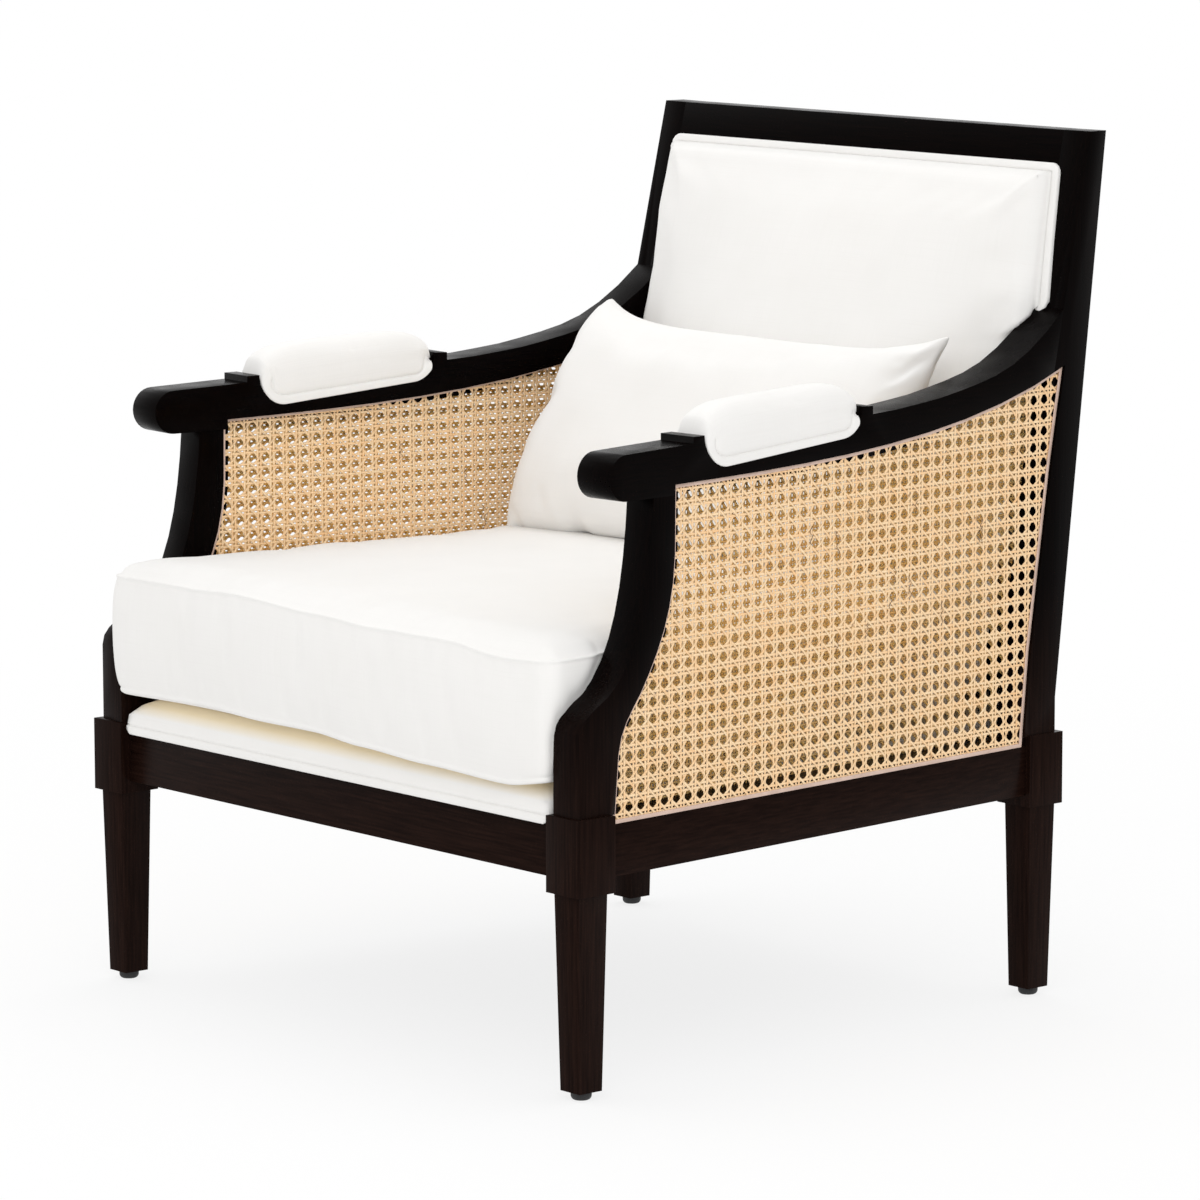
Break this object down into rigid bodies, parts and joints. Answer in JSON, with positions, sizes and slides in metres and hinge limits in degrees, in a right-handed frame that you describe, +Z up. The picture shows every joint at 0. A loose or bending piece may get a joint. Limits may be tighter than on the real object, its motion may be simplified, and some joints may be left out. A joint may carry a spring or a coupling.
{
  "type": "cane armchair",
  "caption": "Low show-wood armchair with woven cane sides, padded arm rests, an upholstered raked back, a loose box seat cushion and a loose lumbar pillow.",
  "frame": {"origin": "on the floor under the middle of the chair's overall width and depth", "axes": "+Z up, -Y the way the chair faces, +X to the right of someone who looks at its back from the front along +Y"},
  "size_m": [0.7594, 0.7484, 0.87],
  "materials": {
    "frame_wood": "espresso stained hardwood, satin lacquer",
    "cane": "natural rattan cane webbing, open octagonal weave",
    "reed": "pinkish tan reed spline",
    "fabric": "off-white woven cotton and linen upholstery fabric",
    "foam": "cushion filling",
    "webbing": "jute upholstery webbing",
    "black_cloth": "black spun-bonded dust cover",
    "glide_nylon": "black moulded glide",
    "beech": "plain unfinished beech",
    "screw_steel": "zinc plated steel"
  },
  "bodies": {
    "frame": {"front_leg_right": "frame_wood", "front_leg_left": "frame_wood", "rear_leg_right": "frame_wood", "rear_leg_left": "frame_wood", "arm_right": "frame_wood", "arm_left": "frame_wood", "front_rail": "frame_wood", "rear_rail": "frame_wood", "side_rail_right": "frame_wood", "side_rail_left": "frame_wood", "crest_rail": "frame_wood", "lower_back_rail": "frame_wood", "corner_blocks": "beech", "joint_dowels": "beech", "arm_pad_boards": "beech", "corner_block_screws": "screw_steel", "arm_pad_screws": "screw_steel", "glides": "glide_nylon", "cane_outer_right": "cane", "spline_outer_right": "reed", "cane_outer_left": "cane", "spline_outer_left": "reed", "cane_inner_right": "cane", "spline_inner_right": "reed", "cane_inner_left": "cane", "spline_inner_left": "reed", "seat_webbing": "webbing", "back_webbing": "webbing", "seat_deck": "fabric", "deck_flange": "fabric", "back_pad": "fabric", "back_pad_flange": "fabric", "outside_back_panel": "fabric", "arm_pad_right": "fabric", "arm_pad_left": "fabric", "arm_pad_flange_right": "fabric", "arm_pad_flange_left": "fabric", "dust_cover": "black_cloth"},
    "seat_cushion": {"seat_cushion_cover": "fabric", "seat_cushion_core": "foam"},
    "lumbar_pillow": {"lumbar_pillow_cover": "fabric", "lumbar_pillow_insert": "foam"}
  },
  "joints": [
    {"name": "seat_cushion_lift", "type": "slide", "parent": "frame", "child": "seat_cushion", "axis": [0, -0.8, 0.6], "range_m": [0, 0.7]},
    {"name": "lumbar_pillow_lift", "type": "slide", "parent": "seat_cushion", "child": "lumbar_pillow", "axis": [0, 0, 1], "range_m": [0, 0.35]}
  ]
}
